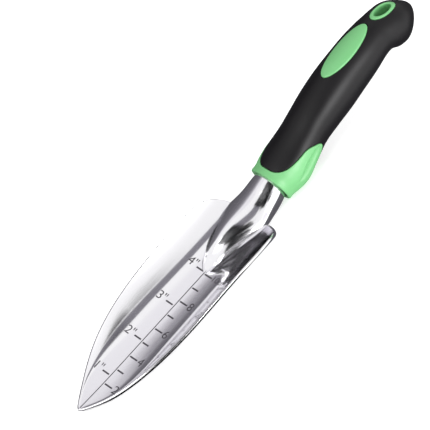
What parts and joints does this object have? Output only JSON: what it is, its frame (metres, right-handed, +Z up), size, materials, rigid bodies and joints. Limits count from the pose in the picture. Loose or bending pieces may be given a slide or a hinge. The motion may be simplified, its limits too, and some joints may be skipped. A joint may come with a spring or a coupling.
{
  "type": "hand trowel",
  "caption": "Soft-grip transplanting trowel: pointed scoop blade with a depth scale, round neck, contoured handle and hang hole.",
  "frame": {"origin": "middle of the trowel's length and width, on the surface that it lies on", "axes": "+X from the blade's tip to the handle's butt, +Z up out of the scoop's open side"},
  "size_m": [0.2826, 0.0536, 0.0472],
  "materials": {
    "cast_aluminium": "polished casting",
    "green_plastic": "satin moulding",
    "black_rubber": "soft matt overmould"
  },
  "bodies": {
    "root": {"trowel_head": "cast_aluminium", "handle_core": "green_plastic", "grip_sleeve": "black_rubber"}
  },
  "joints": []
}
